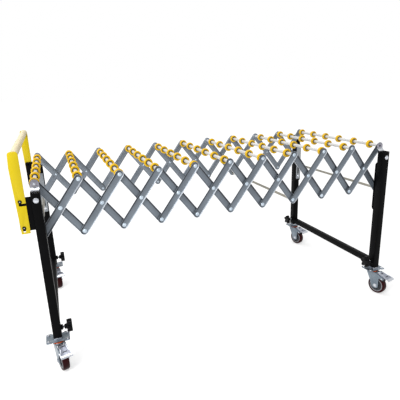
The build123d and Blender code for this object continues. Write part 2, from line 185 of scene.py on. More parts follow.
def plate_with_painted_light(name):
    """The bars' zinc: grey-blue on the web, with painted shade in the well's corners and along the upper
    side, and a painted highlight along the lips.
    """
    material, tree, shader = finish_nodes(name)
    shader.inputs["Metallic"].default_value = 0.3
    painted_light = tree.nodes.new("ShaderNodeAttribute")
    painted_light.attribute_name = "painted_light"
    # Painted shade and highlight: the ramp turns the per-point value into near-black well corners, the
    # grey-blue web and bright lips.
    tone = ramp(tree, painted_light.outputs["Fac"], (
        (0.1, (0.022, 0.024, 0.03)), (0.5, (0.20, 0.235, 0.275)), (0.75, (0.33, 0.37, 0.42)),
        (0.95, (0.80, 0.83, 0.88))))
    cloud = ramp(tree, grain(tree, 16.0, 6.0), ((0.3, (0.72, 0.72, 0.73)), (0.7, (1.0, 1.0, 1.0))))
    mix = tree.nodes.new("ShaderNodeMix")
    mix.data_type = "RGBA"
    mix.blend_type = "MULTIPLY"
    mix.inputs["Factor"].default_value = 1.0
    tree.links.new(tone, mix.inputs["A"])
    tree.links.new(cloud, mix.inputs["B"])
    tree.links.new(mix.outputs["Result"], shader.inputs["Base Color"])
    fine = grain(tree, 240.0, 3.0)
    tree.links.new(spread(tree, fine, 0.3, 0.45), shader.inputs["Roughness"])
    relief(tree, shader, fine, 0.1, 0.0004)
    return material


def coated(name, dark, pale, rough=(0.3, 0.42), peel=420.0, gloss=0.3, bump=0.1):
    """Powder coat or moulded plastic: a slight tone change and an orange-peel surface."""
    material, tree, shader = finish_nodes(name)
    shader.inputs["Specular IOR Level"].default_value = gloss
    cloud = grain(tree, 9.0, 4.0)
    tree.links.new(ramp(tree, cloud, ((0.3, dark), (0.7, pale))), shader.inputs["Base Color"])
    fine = grain(tree, peel, 2.0)
    tree.links.new(spread(tree, fine, *rough), shader.inputs["Roughness"])
    relief(tree, shader, fine, bump, 0.0005)
    return material


LINK_STEEL = plate_with_painted_light("link_zinc")
# Bright zinc for bolts, pins and the inner legs; also painted highlight on the pedals' rims, the straps'
# ledges and the handle pins' heads.
BRIGHT_ZINC_AND_HIGHLIGHT = plated("bright_zinc_and_painted_highlight", (0.42, 0.44, 0.48), (0.66, 0.68, 0.72), (0.18, 0.32), 30.0)
RIVET = plated("rivet_zinc", (0.42, 0.50, 0.58), (0.62, 0.70, 0.78), (0.15, 0.28), 60.0)
SLEEVE = plated("spacer_tube", (0.62, 0.62, 0.61), (0.67, 0.67, 0.66), (0.4, 0.5), 30.0, (2, 0.2, 2), 0.2)
ROD = plated("tie_rod_zinc", (0.27, 0.26, 0.22), (0.36, 0.34, 0.29), (0.3, 0.42), 30.0, (2, 0.2, 2), 0.7)
# A darker copy of the straps' zinc: painted shade on the ears' upright faces.
EAR_SHADED_ZINC = plated("ear_zinc_painted_shade", (0.20, 0.20, 0.235), (0.36, 0.35, 0.40), (0.25, 0.4), 30.0)
# Steel darkened as painted shade in the wheel's recess.
BEARING = plated("bearing_steel", (0.16, 0.16, 0.17), (0.26, 0.26, 0.27), (0.3, 0.4), 60.0)
GALVANISED = plated("grey_zinc", (0.22, 0.24, 0.26), (0.32, 0.34, 0.36), (0.3, 0.45), 12.0)
CASTER_ZINC = plated("blue_zinc", (0.13, 0.165, 0.20), (0.27, 0.315, 0.36), (0.25, 0.4), 22.0, (1, 1, 1), 0.8)
PEDAL_ZINC = plated("pedal_zinc", (0.22, 0.235, 0.29), (0.40, 0.42, 0.49), (0.28, 0.42), 25.0, (1, 1, 1), 0.8)
BLACK = coated("black_coat", (0.0016, 0.0016, 0.0018), (0.0032, 0.0032, 0.0036), (0.36, 0.5), 500.0, 0.045)
YELLOW = coated("yellow_coat", (0.70, 0.53, 0.006), (0.76, 0.58, 0.010), (0.3, 0.4), 420.0, 0.25)
WHEEL = coated("wheel_yellow", (0.76, 0.45, 0.004), (0.84, 0.52, 0.008), (0.26, 0.38), 700.0, 0.3)
# Near black: painted shade in the wheel's recess, on the moulded web.
WEB_SHADE = coated("wheel_web_shade", (0.012, 0.011, 0.010), (0.025, 0.022, 0.019), (0.4, 0.55), 700.0, 0.15)
CREAM = coated("grip_cream", (0.74, 0.64, 0.42), (0.82, 0.73, 0.52), (0.5, 0.65), 600.0, 0.2)
KNOB_BLACK = coated("knob_black", (0.002, 0.002, 0.0025), (0.004, 0.004, 0.005), (0.3, 0.42), 700.0, 0.08)
TREAD = coated("tread_maroon", (0.022, 0.0025, 0.0035), (0.038, 0.004, 0.005), (0.3, 0.42), 500.0, 0.08)
RIM = coated("rim_grey", (0.05, 0.053, 0.06), (0.09, 0.095, 0.105), (0.4, 0.5), 600.0, 0.2)
BEAD = coated("bead_grey", (0.30, 0.31, 0.33), (0.40, 0.41, 0.43), (0.4, 0.5), 600.0, 0.2)
ORANGE = coated("ring_orange", (0.86, 0.115, 0.012), (0.94, 0.15, 0.02), (0.4, 0.5), 600.0, 0.15)
# Near black as painted shade: the pedals' slots and the space under them.
SHADE = coated("painted_shade_black", (0.004, 0.004, 0.004), (0.008, 0.008, 0.008), (0.6, 0.7), 400.0, 0.1)


# Shapes: all are drawn in millimetres and turned into metres when the piece is made


def at(x=0.0, y=0.0, z=0.0):
    """A shift to a place."""
    return Matrix.Translation((x, y, z))


# Drawing X, Y to X, Z with thickness to Y; then to Y, Z with thickness to X; then local Z to +Y and to -Y
UPRIGHT = Matrix(((1, 0, 0, 0), (0, 0, 1, 0), (0, 1, 0, 0), (0, 0, 0, 1)))
SIDEWAYS = Matrix(((0, 0, 1, 0), (1, 0, 0, 0), (0, 1, 0, 0), (0, 0, 0, 1)))
TO_FAR = Matrix.Rotation(-pi / 2, 4, "X")
TO_NEAR = Matrix.Rotation(pi / 2, 4, "X")
CORNER_SIGNS = ((-1, -1), (1, -1), (1, 1), (-1, 1))


def turned(shape, place, profile, sides=24):
    """A turned form about the local Z axis. The profile is (radius, height) pairs; radius 0 closes an end."""
    rings = []
    for radius, height in profile:
        if radius == 0:
            rings.append([shape.verts.new(place @ Vector((0, 0, height)))])
            continue
        corners = [2 * pi * step / sides for step in range(sides)]
        points = [Vector((radius * cos(a), radius * sin(a), height)) for a in corners]
        rings.append([shape.verts.new(place @ point) for point in points])
    for low, high in zip(rings, rings[1:]):
        skin(shape, low, high)
    return rings


def skin(shape, low, high):
    """Faces between two closed rings, or between a ring and a point."""
    count = max(len(low), len(high))
    for step in range(count):
        nxt = (step + 1) % count
        if len(low) == 1:
            shape.faces.new((low[0], high[nxt], high[step]))
        elif len(high) == 1:
            shape.faces.new((low[step], low[nxt], high[0]))
        else:
            shape.faces.new((low[step], low[nxt], high[nxt], high[step]))


def hollow(shape, place, profile, sides=24):
    """A turned form with a bore: the profile goes round and closes on itself."""
    rings = turned(shape, place, profile, sides)
    skin(shape, rings[-1], rings[0])


def corners_rounded(points, steps=4):
    """An outline with its corners rounded: points are (x, y, radius)."""
    outline = []
    count = len(points)
    for index, (x, y, radius) in enumerate(points):
        here = Vector((x, y))
        if radius <= 0:
            outline.append((x, y))
            continue
        before = (Vector(points[index - 1][:2]) - here).normalized()
        after = (Vector(points[(index + 1) % count][:2]) - here).normalized()
        half = acos(max(-1.0, min(1.0, before.dot(after)))) / 2
        reach = radius / max(sin(half) / cos(half), 1e-6) if half < pi / 2 - 1e-4 else 0
        middle = here + (before + after).normalized() * (radius / sin(half))
        first = here + before * reach - middle
        last = here + after * reach - middle
        turn = first.angle_signed(last)
        for step in range(steps + 1):
            part = turn * step / steps
            c, s = cos(-part), sin(-part)
            outline.append((middle.x + first.x * c - first.y * s, middle.y + first.x * s + first.y * c))
    return outline


def slot_outline(x, y, half_length, radius, steps=5):
    """A vertical slot with round ends."""
    outline = []
    for step in range(steps + 1):
        a = pi * step / steps
        outline.append((x + radius * cos(a), y + half_length + radius * sin(a)))
    for step in range(steps + 1):
        a = pi + pi * step / steps
        outline.append((x + radius * cos(a), y - half_length + radius * sin(a)))
    return outline


def round_outline(x, y, radius, steps=16):
    """A circle with flat steps."""
    turns = [2 * pi * step / steps for step in range(steps)]
    return [(x + radius * cos(a), y + radius * sin(a)) for a in turns]


def box_outline(half_x, half_y, radius, steps=4):
    """A rectangle about the drawing's origin, with round corners."""
    return corners_rounded([(sx * half_x, sy * half_y, radius) for sx, sy in CORNER_SIGNS], steps)


def panel_outline(x, half, low, high, radius=0):
    """An upright rectangle between two heights."""
    return corners_rounded([(x - half, low, radius), (x + half, low, radius), (x + half, high, radius),
                            (x - half, high, radius)])


def plate(shape, place, outline, holes=(), thickness=3.0, edge=0.5):
    """A flat plate with softened edges, centred on the drawing plane."""
    curve = bpy.data.curves.new("outline", "CURVE")
    curve.dimensions = "2D"
    curve.fill_mode = "BOTH"
    curve.extrude = max(thickness / 2 - edge, 0.01)
    curve.bevel_depth = edge
    curve.bevel_resolution = 1
    curve.offset = -edge
    for loop in (outline, *holes):
        spline = curve.splines.new("POLY")
        spline.points.add(len(loop) - 1)
        for point, (x, y) in zip(spline.points, loop):
            point.co = (x, y, 0, 1)
        spline.use_cyclic_u = True
    holder = bpy.data.objects.new("outline", curve)
    bpy.context.scene.collection.objects.link(holder)
    bpy.context.view_layer.update()
    mesh = bpy.data.meshes.new_from_object(holder.evaluated_get(bpy.context.evaluated_depsgraph_get()))
    mesh.transform(place)
    shape.from_mesh(mesh)
    bpy.data.objects.remove(holder)
    bpy.data.curves.remove(curve)
    bpy.data.meshes.remove(mesh)


def strip(shape, place, path, half_widths, thickness):
    """A bent strip: path points (x, y) in the drawing plane, half widths across it."""
    count = len(path)
    rings = []
    for index, point in enumerate(path):
        before = Vector(path[max(index - 1, 0)])
        after = Vector(path[min(index + 1, count - 1)])
        run = (after - before).normalized()
        up = Vector((-run.y, run.x)) * thickness / 2
        wide = half_widths[index] if isinstance(half_widths, (list, tuple)) else half_widths
        here = Vector(point)
        ring = []
        for side, lift in CORNER_SIGNS:
            flat = here + up * lift
            ring.append(shape.verts.new(place @ Vector((flat.x, flat.y, side * wide))))
        rings.append(ring)
    for low, high in zip(rings, rings[1:]):
        skin(shape, low, high)
    shape.faces.new(rings[0][::-1])
    shape.faces.new(rings[-1])


def tube(shape, place, width, depth, low, high, wall=1.5, corner=3.0):
    """A rectangular tube with round corners, along the local Z axis, open at both ends."""
    outside = box_outline(width / 2, depth / 2, corner, 3)
    inside = box_outline(width / 2 - wall, depth / 2 - wall, corner - wall, 3)
    rings = []
    for loop, height in ((outside, low), (outside, high), (inside, high), (inside, low)):
        rings.append([shape.verts.new(place @ Vector((x, y, height))) for x, y in loop])
    for first, second in zip(rings, rings[1:] + rings[:1]):
        skin(shape, first, second)


def both_sides(shape):
    """Add the mirror image of a near or far form across the middle of the conveyor."""
    mesh = bpy.data.meshes.new("mirror")
    shape.to_mesh(mesh)
    mesh.transform(Matrix.Diagonal((1, -1, 1, 1)))
    shape.from_mesh(mesh)
    bpy.data.meshes.remove(mesh)


def in_order(shape):
    """Rebuild a form with its points and faces sorted by place, so that each run lists them alike."""
    points = sorted(shape.verts, key=lambda v: v.co[:])
    number = {v: n for n, v in enumerate(points)}
    places = [v.co.copy() for v in points]
    rings = sorted([number[v] for v in face.verts] for face in shape.faces)
    shape.clear()
    points = [shape.verts.new(place) for place in places]
    for ring in rings:
        shape.faces.new([points[n] for n in ring])


def soften(shape, width, segments, angle):
    """Round the sharp edges of a form. The rounding's own order varies, so the form is put in order."""
    bmesh.ops.remove_doubles(shape, verts=shape.verts, dist=0.001)
    bmesh.ops.recalc_face_normals(shape, faces=shape.faces)
    edges = [e for e in shape.edges if len(e.link_faces) == 2 and e.calc_face_angle(0) > radians(angle)]
    bmesh.ops.bevel(shape, geom=edges, offset=width, segments=segments, affect="EDGES", profile=0.5,
                    clamp_overlap=True)
    in_order(shape)


def dress(obj, material, body, nodes=()):
    """Give a finished piece its material, its body and the nodes it stands for."""
    obj.data.materials.clear()
    obj.data.materials.append(material)
    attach(obj, body)
    if nodes:
        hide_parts(*nodes)
    return obj


def placed(name, mesh):
    """A new object for a finished mesh, shaded smooth up to its sharp edges."""
    mesh.shade_smooth()
    mesh.set_sharp_from_angle(angle=SMOOTH)
    obj = bpy.data.objects.new(name, mesh)
    bpy.context.scene.collection.objects.link(obj)
    return obj


def piece(name, shape, material, body, nodes=()):
    """A finished piece from a form in millimetres."""
    bmesh.ops.remove_doubles(shape, verts=shape.verts, dist=0.0005)
    bmesh.ops.recalc_face_normals(shape, faces=shape.faces)
    bmesh.ops.scale(shape, vec=(1 / MM_PER_M,) * 3, verts=shape.verts)
    mesh = bpy.data.meshes.new(name)
    shape.to_mesh(mesh)
    shape.free()
    return dress(placed(name, mesh), material, body, nodes)


# Repeats: each tree sets one form on every point of the piece it is given


def start_tree(name, sizes):
    """A tree with a points input, named sizes and a material, and its first and last nodes."""
    tree = bpy.data.node_groups.new(name, "GeometryNodeTree")
    tree.interface.new_socket("Places", in_out="INPUT", socket_type="NodeSocketGeometry")
    sockets = {}
    for label, kind, value in sizes:
        socket = tree.interface.new_socket(label, in_out="INPUT", socket_type=kind)
        socket.default_value = value
        sockets[label] = socket.identifier
    finish = tree.interface.new_socket("Finish", in_out="INPUT", socket_type="NodeSocketMaterial")
    sockets["Finish"] = finish.identifier
    tree.interface.new_socket("Pieces", in_out="OUTPUT", socket_type="NodeSocketGeometry")
    return tree, tree.nodes.new("NodeGroupInput"), tree.nodes.new("NodeGroupOutput"), sockets


def end_tree(tree, given, result, form):
    """Set the form's last node on every point, realize it and give it the finish."""
    points = tree.nodes.new("GeometryNodeMeshToPoints")
    spread_out = tree.nodes.new("GeometryNodeInstanceOnPoints")
    real = tree.nodes.new("GeometryNodeRealizeInstances")
    paint = tree.nodes.new("GeometryNodeSetMaterial")
    join(tree,
         (given, "Places", points, "Mesh"), (points, "Points", spread_out, "Points"),
         (form, "Geometry", spread_out, "Instance"), (spread_out, "Instances", real, "Geometry"),
         (real, "Geometry", paint, "Geometry"), (given, "Finish", paint, "Material"),
         (paint, "Geometry", result, "Pieces"))


def ring_tree():
    """A ring round the Y axis with a rounded rectangular section: wheel tyres, hubs, collars and ribs."""
    tree, given, result, sockets = start_tree("ring_on_points", (
        ("Ring Radius", "NodeSocketFloat", 0.015), ("Section Width", "NodeSocketFloat", 0.01),
        ("Section Height", "NodeSocketFloat", 0.005), ("Corner", "NodeSocketFloat", 0.001),
        ("Steps", "NodeSocketInt", 24), ("Corner Steps", "NodeSocketInt", 3)))
    circle = tree.nodes.new("GeometryNodeCurvePrimitiveCircle")
    section = tree.nodes.new("GeometryNodeCurvePrimitiveQuadrilateral")
    fillet = tree.nodes.new("GeometryNodeFilletCurve")
    fillet.mode = "POLY"
    sweep = tree.nodes.new("GeometryNodeCurveToMesh")
    stand = tree.nodes.new("GeometryNodeTransform")
    stand.inputs["Rotation"].default_value = (pi / 2, 0, 0)
    join(tree,
         (given, "Ring Radius", circle, "Radius"), (given, "Steps", circle, "Resolution"),
         (given, "Section Width", section, "Height"), (given, "Section Height", section, "Width"),
         (section, "Curve", fillet, "Curve"), (given, "Corner", fillet, "Radius"),
         (given, "Corner Steps", fillet, "Count"), (circle, "Curve", sweep, "Curve"),
         (fillet, "Curve", sweep, "Profile Curve"), (sweep, "Mesh", stand, "Geometry"))
    end_tree(tree, given, result, stand)
    return tree, sockets


def dome_tree():
    """A flattened ball on the Y axis: the two heads of a rivet in one."""
    tree, given, result, sockets = start_tree("rivet_on_points", (
        ("Head Radius", "NodeSocketFloat", 0.005), ("Head Height", "NodeSocketFloat", 0.002),
        ("Sides", "NodeSocketInt", 14), ("Rings", "NodeSocketInt", 8)))
    ball = tree.nodes.new("GeometryNodeMeshUVSphere")
    squeeze = tree.nodes.new("ShaderNodeCombineXYZ")
    shape = tree.nodes.new("GeometryNodeTransform")
    stand = tree.nodes.new("GeometryNodeTransform")
    stand.inputs["Rotation"].default_value = (pi / 2, 0, 0)
    ball.inputs["Radius"].default_value = 1.0
    join(tree,
         (given, "Sides", ball, "Segments"), (given, "Rings", ball, "Rings"),
         (given, "Head Radius", squeeze, "X"), (given, "Head Radius", squeeze, "Y"),
         (given, "Head Height", squeeze, "Z"), (ball, "Mesh", shape, "Geometry"),
         (squeeze, "Vector", shape, "Scale"), (shape, "Geometry", stand, "Geometry"))
    end_tree(tree, given, result, stand)
    return tree, sockets


RINGS = ring_tree()
RIVETS = dome_tree()


def ring_sizes(radius, width, height, corner, steps, corner_steps):
    """The ring tree's inputs."""
    return {"Ring Radius": radius, "Section Width": width, "Section Height": height, "Corner": corner,
            "Steps": steps, "Corner Steps": corner_steps}


RIVET_SIZES = {"Head Radius": 4.6, "Head Height": 1.7, "Sides": 16, "Rings": 8}
WASHER_SIZES = ring_sizes(6.0, 0.9, 3.4, 0.3, 20, 2)


def repeated(name, tree_and_sockets, places, sizes, material, body, nodes=()):
    """One plain mesh of a form set on every place, for one body. Places and sizes are in millimetres."""
    tree, sockets = tree_and_sockets
    points = bpy.data.meshes.new(name + "_places")
    points.from_pydata([(x / MM_PER_M, y / MM_PER_M, z / MM_PER_M) for x, y, z in places], [], [])
    host = bpy.data.objects.new(name + "_places", points)
    bpy.context.scene.collection.objects.link(host)
    modifier = host.modifiers.new("repeat", "NODES")
    modifier.node_group = tree
    for label, value in sizes.items():
        modifier[sockets[label]] = value if isinstance(value, int) else value / MM_PER_M
    modifier[sockets["Finish"]] = material
    bpy.context.view_layer.update()
    mesh = bpy.data.meshes.new_from_object(host.evaluated_get(bpy.context.evaluated_depsgraph_get()))
    mesh.name = name
    host.modifiers.remove(modifier)
    bpy.data.objects.remove(host)
    bpy.data.meshes.remove(points)
    shape = bmesh.new()
    shape.from_mesh(mesh)
    bmesh.ops.remove_doubles(shape, verts=shape.verts, dist=0.0000005)
    bmesh.ops.recalc_face_normals(shape, faces=shape.faces)
    shape.to_mesh(mesh)
    shape.free()
    return dress(placed(name, mesh), material, body, nodes)


# Lattice: pressed bars, open side out, with round ends and rolled rims


def bar_ring(shape, place, radius, depth, low_painted_light, high_painted_light, steps=10):
    """One closed loop of a bar's rim, with the painted light and shade of its plate on the lower and upper
    side.
    """
    layer = shape.verts.layers.float.get("painted_light") or shape.verts.layers.float.new("painted_light")
    loop = []
    for end, start in ((1, -pi / 2), (-1, pi / 2)):
        for step in range(steps + 1):
            a = start + pi * step / steps
            point = Vector((end * LINK / 2 + radius * cos(a), depth, radius * sin(a)))
            corner = shape.verts.new(place @ point)
            # Painted light: the value runs from the loop's lower to its upper side, darker above and brighter
            # below.
            corner[layer] = low_painted_light + (high_painted_light - low_painted_light) * (1 + sin(a)) / 2
            loop.append(corner)
    return loop


# Half width, depth and lower and upper painted brightness of each loop (painted shade in the well, painted
# highlight on the lip), from the back, over the lip and into the well
BAR_PROFILE = (
    (10.6, 0.0, 0.62, 0.5), (11.4, 0.3, 0.5, 0.4), (13.6, 3.2, 0.35, 0.3), (15.1, 4.4, 0.8, 0.4),
    (15.5, 4.8, 1.0, 0.6), (15.2, 5.0, 1.0, 0.6), (14.3, 5.0, 1.0, 0.5), (13.7, 4.6, 0.8, 0.2),
    (12.3, 3.4, 0.5, 0.0), (11.0, 2.3, 0.4, 0.0), (10.2, 2.02, 0.45, 0.12), (8.6, 2.0, 0.55, 0.42),
)


def pressed_bar(shape, middle_x, slope, back):
    """The far bar of a pair, with its web's back at the given distance from the middle plane."""
    place = at(middle_x, back, CENTRE) @ Matrix.Rotation(-slope, 4, "Y")
    rings = [bar_ring(shape, place, *loop) for loop in BAR_PROFILE]
    for low, high in zip(rings, rings[1:]):
        skin(shape, low, high)
    shape.faces.new(rings[0])
    shape.faces.new(rings[-1])


def bay_middle(bay):
    """The place along X of a bay's centre pivots."""
    return (column_x(bay) + column_x(bay + 1)) / 2


def pin_form(shape, x, z, start, end, radius=4.0, sides=14):
    """A plain pin along Y."""
    turned(shape, at(x, 0, z) @ TO_FAR,
           ((0, start), (radius, start), (radius, end - 0.6), (radius - 0.6, end), (0, end)), sides)


def link_pair(bay, rising):
    """Both bars of one link with their pins, rivets and washers."""
    kind = "rising" if rising else "falling"
    body = f"{kind}_{bay:02d}"
    node = f"link_{kind}_{bay:02d}"
    middle = bay_middle(bay)
    back = OUTER_BACK if rising else INNER_BACK
    bars = bmesh.new()
    pressed_bar(bars, middle, LINK_ANGLE if rising else -LINK_ANGLE, back)
    both_sides(bars)
    piece(f"bars_{kind}_{bay:02d}", bars, LINK_STEEL, body, [node])
    x = column_x(bay)
    pins = bmesh.new()
    heads = []
    washers = []
    if rising:
        start = OUTER_BACK - 0.2 if bay == 1 else INNER_BACK - 1.5
        pin_form(pins, x, BOTTOM, start, PIN_REACH if bay == 1 else PIN_END)
        for side in (-1, 1):
            heads.append((x, side * BOTTOM_HEAD, BOTTOM))
            washers.append((x, side * WASHER, BOTTOM))
            washers.append((column_x(bay + 1), side * WASHER, AXLE))
            if bay > 1:
                heads.append((x, side * (INNER_BACK - 0.8), BOTTOM))
    else:
        web = INNER_BACK + BAR_SHEET
        pin_form(pins, middle, CENTRE, web, RIVET_END)
        pin_form(pins, x, AXLE, web, PIN_REACH if bay == 1 else RIVET_END)
        for side in (-1, 1):
            heads.append((middle, side * TOP_HEAD, CENTRE))
            heads.append((middle, side * (INNER_BACK + 0.1), CENTRE))
            if bay > 1:
                heads.append((x, side * TOP_HEAD, AXLE))
            else:
                heads.append((x, side * (STRAP_FACE + 4.0), AXLE))
        if bay == BAYS:
            pin_form(pins, column_x(BAYS + 1), BOTTOM, web, PIN_REACH)
            for side in (-1, 1):
                heads.append((column_x(BAYS + 1), side * PIN_REACH, BOTTOM))
        washers = [(middle, side * CENTRE_WASHER, CENTRE) for side in (-1, 1)]
    both_sides(pins)
    piece(f"pins_{kind}_{bay:02d}", pins, BRIGHT_ZINC_AND_HIGHLIGHT, body)
    repeated(f"rivets_{kind}_{bay:02d}", RIVETS, heads, RIVET_SIZES, RIVET, body)
    repeated(f"washers_{kind}_{bay:02d}", RINGS, washers, WASHER_SIZES, RIVET, body)


def axle_tube(name, column, end, body):
    """The spacer tubes on an axle, butted end to end and stepped down inside each wheel."""
    shape = bmesh.new()
    place = at(column_x(column), 0, AXLE) @ TO_FAR
    profile = [(0, -end), (SLEEVE_RADIUS, -end)]
    for y in wheel_places(column):
        profile += [(SLEEVE_RADIUS, y - 7.4), (SLEEVE_AT_WHEEL, y - 7.0)]
        profile += [(SLEEVE_AT_WHEEL, y + 7.0), (SLEEVE_RADIUS, y + 7.4)]
    profile += [(SLEEVE_RADIUS, end), (0, end)]
    turned(shape, place, profile, 20)
    return piece(name, shape, SLEEVE, body)


def tie_rod(name, column, end, body):
    """A rod between the near and far bottom pivots."""
    shape = bmesh.new()
    place = at(column_x(column), 0, BOTTOM) @ TO_FAR
    profile = [(0, -end), (5.4, -end), (ROD_RADIUS, 0.6 - end), (ROD_RADIUS, end - 0.6), (5.4, end), (0, end)]
    turned(shape, place, profile, 20)
    return piece(name, shape, ROD, body)


FAR_SET = (2, 4, 6, 8, 10, 11)


def wheel_places(column):
    """Where an axle's six wheels sit across the conveyor."""
    first = -HALF + FIRST_WHEEL + (STAGGER if column in FAR_SET else 0.0)
    return [first + WHEEL_PITCH * place for place in range(WHEELS_PER_ROW)]


def wheel_row(column):
    """One axle's skate wheels: moulded tyre, web and a sunk bearing with its shield; web and bearing darkened
    as painted shade in the recess.
    """
    body = f"row_{column:02d}"
    places = [(column_x(column), y, AXLE) for y in wheel_places(column)]
    repeated(f"tyres_{column:02d}", RINGS, places, ring_sizes(14.7, 14.0, 7.6, 3.2, 32, 4),
             WHEEL, body, [f"wheel_row_{column:02d}"])
    repeated(f"wheel_webs_{column:02d}", RINGS, places, ring_sizes(10.0, 6.4, 3.0, 0.6, 28, 2),
             WEB_SHADE, body)
    repeated(f"bearings_{column:02d}", RINGS, places, ring_sizes(8.1, 8.4, 1.8, 0.5, 24, 2),
             BEARING, body)


for bay in range(1, BAYS + 1):
    link_pair(bay, False)
    link_pair(bay, True)
    axle_tube(f"axle_{bay:02d}", bay, INNER_BACK, f"falling_{bay:02d}")
for column in range(1, BAYS + 2):
    wheel_row(column)
tie_rod("tie_rod_01", 1, OUTER_BACK, "rising_01")
tie_rod("tie_rod_08", 8, INNER_BACK - 0.3, "rising_08")
tie_rod("tie_rod_11", 11, INNER_BACK, "falling_10")


# End frames


def leg_frame(end, inward):
    """The black frame: two rectangular legs, crossbar, clamp bosses and bent guide brackets."""
    x = column_x(1 if end == "left" else BAYS + 1)
    shape = bmesh.new()
    tube(shape, at(x, LEG_MIDDLE, 0), LEG, LEG_DEPTH, LEG_FOOT, LEG_TOP, LEG_WALL, LEG_CORNER)
    both_sides(shape)
    across = at(x, 0, LEG_FOOT + CROSSBAR_LIFT) @ TO_FAR
    tube(shape, across, *CROSSBAR, -LEG_FACE, LEG_FACE, LEG_WALL, LEG_CORNER)
    piece(f"{end}_leg_tubes", shape, BLACK, f"{end}_frame", [f"{end}_legs"])
    bosses = bmesh.new()
    face = x + inward * LEG / 2
    turned(bosses, at(face, LEG_MIDDLE, CLAMP) @ Matrix.Rotation(inward * pi / 2, 4, "Y"),
           ((5.2, 8.0), (9.6, 8.0), (10.4, 7.4), (10.6, 1.2), (11.6, 0.0), (0, -0.5)), 20)
    both_sides(bosses)
    piece(f"{end}_clamp_bosses", bosses, BLACK, f"{end}_frame")
    guides = bmesh.new()
    top, bottom = AXLE - 76.0, AXLE - 302.0
    web = (WEB_FACE + WEB_BACK) / 2
    outline = panel_outline(x, 17, bottom + 12, top - 12)
    holes = [slot_outline(x, SLOT_MIDDLE, SLOT_HALF, 4.6), round_outline(x, GUIDE_BOLT, 4.1, 12)]
    plate(guides, at(0, web, 0) @ UPRIGHT, outline, holes, 3.0, 0.4)
    for z, way in ((top, -1), (bottom, 1)):
        bend = ((web, z + way * 11.7), (web + 0.6, z + way * 10.4), (LEG_FACE, z + way * 1.0))
        strip(guides, at(x, 0, 0) @ SIDEWAYS, bend, 17.0, 3.0)
    both_sides(guides)
    piece(f"{end}_guide_brackets", guides, BLACK, f"{end}_frame")


def weld_beads(end):
    """The weld beads where the crossbar meets the legs."""
    x = column_x(1 if end == "left" else BAYS + 1)
    shape = bmesh.new()
    for side in (-1, 1):
        for dx in (-12.5, 12.5):
            for step in range(6):
                z = LEG_FOOT + 9.5 + step * 5.0
                bead = ((0, -3.4), (1.7, -2.2), (2.3, 0), (1.7, 2.2), (0, 3.4))
                turned(shape, at(x + dx, side * LEG_FACE, z), bead, 8)
    piece(f"{end}_weld_beads", shape, BLACK, f"{end}_frame")


def hex_head(shape, place, radius, height):
    """A hexagon head with its turned chamfer, standing up from the local origin."""
    head = ((0, 0), (radius, 0), (radius, height - 1.0), (radius - 1.2, height), (0, height))
    turned(shape, place, head, 6)
    crown = ((0, height - 0.2), (radius * 0.8, height), (radius * 0.7, height + 0.25), (0, height + 0.3))
    turned(shape, place, crown, 16)


def head_straps(end):
    """The bent straps in the legs' tops, with their ears, ledges and hexagon bolts."""
    x = column_x(1 if end == "left" else BAYS + 1)
    shape = bmesh.new()
    seat = LEG_TOP + 0.3
    low = seat + 12.0
    ear = [(x - 16, low - 1.0), (x + 16, low - 1.0)]
    ear += [(x + 16.0 * cos(pi * s / 16), AXLE + 16.0 * sin(pi * s / 16)) for s in range(17)]
    ears = bmesh.new()
    plate(ears, at(0, STRAP_FACE + 1.5, 0) @ UPRIGHT, ear, [round_outline(x, AXLE, 4.3, 14)], 3.0, 0.5)
    boss = ((4.3, -0.5), (9.4, -0.5), (9.0, 0.5), (4.8, 0.5))
    hollow(ears, at(x, STRAP_FACE + 3.0, AXLE) @ TO_FAR, boss, 24)
    both_sides(ears)
    # The ear is one sheet with the strap: it gets the darker zinc as painted shade.
    piece(f"{end}_strap_ears", ears, EAR_SHADED_ZINC, f"{end}_frame")
    path = ((STRAP_FACE + 1.5, low), (STRAP_FACE + 1.9, low - 2.2), (STRAP_FACE + 3.4, low - 3.2),
            (LEG_FACE + 2.0, seat + 3.2), (LEG_FACE + 3.2, seat + 2.0), (LEG_FACE + 3.5, seat),
            (LEG_FACE + 3.5, LEG_TOP - 44.0))
    strip(shape, at(x, 0, 0) @ SIDEWAYS, path, (16.0, 16.0, 16.0, 15.0, 14.0, 14.0, 14.0), 3.0)
    both_sides(shape)
    # The strap gets the bright zinc as painted highlight on its ledge.
    piece(f"{end}_straps_bent", shape, BRIGHT_ZINC_AND_HIGHLIGHT, f"{end}_frame", [f"{end}_straps"])
    bolts = bmesh.new()
    seat_face = at(x, LEG_OUT, LEG_BOLT) @ TO_FAR
    hex_head(bolts, seat_face, 7.6, 4.6)
    turned(bolts, seat_face, ((0, 0), (9.2, 0), (9.2, 0.7), (8.6, 1.0), (0, 1.0)), 20)
    both_sides(bolts)
    piece(f"{end}_leg_bolts", bolts, BRIGHT_ZINC_AND_HIGHLIGHT, f"{end}_frame")


def slide_strips(end):
    """The slotted strips on the guides, with their bolts."""
    x = column_x(1 if end == "left" else BAYS + 1)
    shape = bmesh.new()
    top, bottom = AXLE - 88.0, AXLE - 290.0
    outline = panel_outline(x, 13, bottom, top, 5)
    holes = [slot_outline(x, SLOT_MIDDLE, SLOT_HALF, 4.5)]
    plate(shape, at(0, STRAP_FACE + 1.1, 0) @ UPRIGHT, outline, holes, 2.2, 0.3)
    both_sides(shape)
    piece(f"{end}_slide_strips", shape, GALVANISED, f"{end}_frame", [f"{end}_guides"])
    bolts = bmesh.new()
    hex_head(bolts, at(x, STRAP_FACE, GUIDE_BOLT) @ TO_NEAR, 7.4, 4.6)
    hex_head(bolts, at(x, WEB_BACK, GUIDE_BOLT) @ TO_FAR, 7.4, 3.1)
    both_sides(bolts)
    piece(f"{end}_guide_bolts", bolts, BRIGHT_ZINC_AND_HIGHLIGHT, f"{end}_frame")


for end, inward in (("left", 1), ("right", -1)):
    leg_frame(end, inward)
    weld_beads(end)
    head_straps(end)
    slide_strips(end)
axle_tube("axle_11", BAYS + 1, OUTER_BACK - 0.3, "right_frame")


# Pull handle


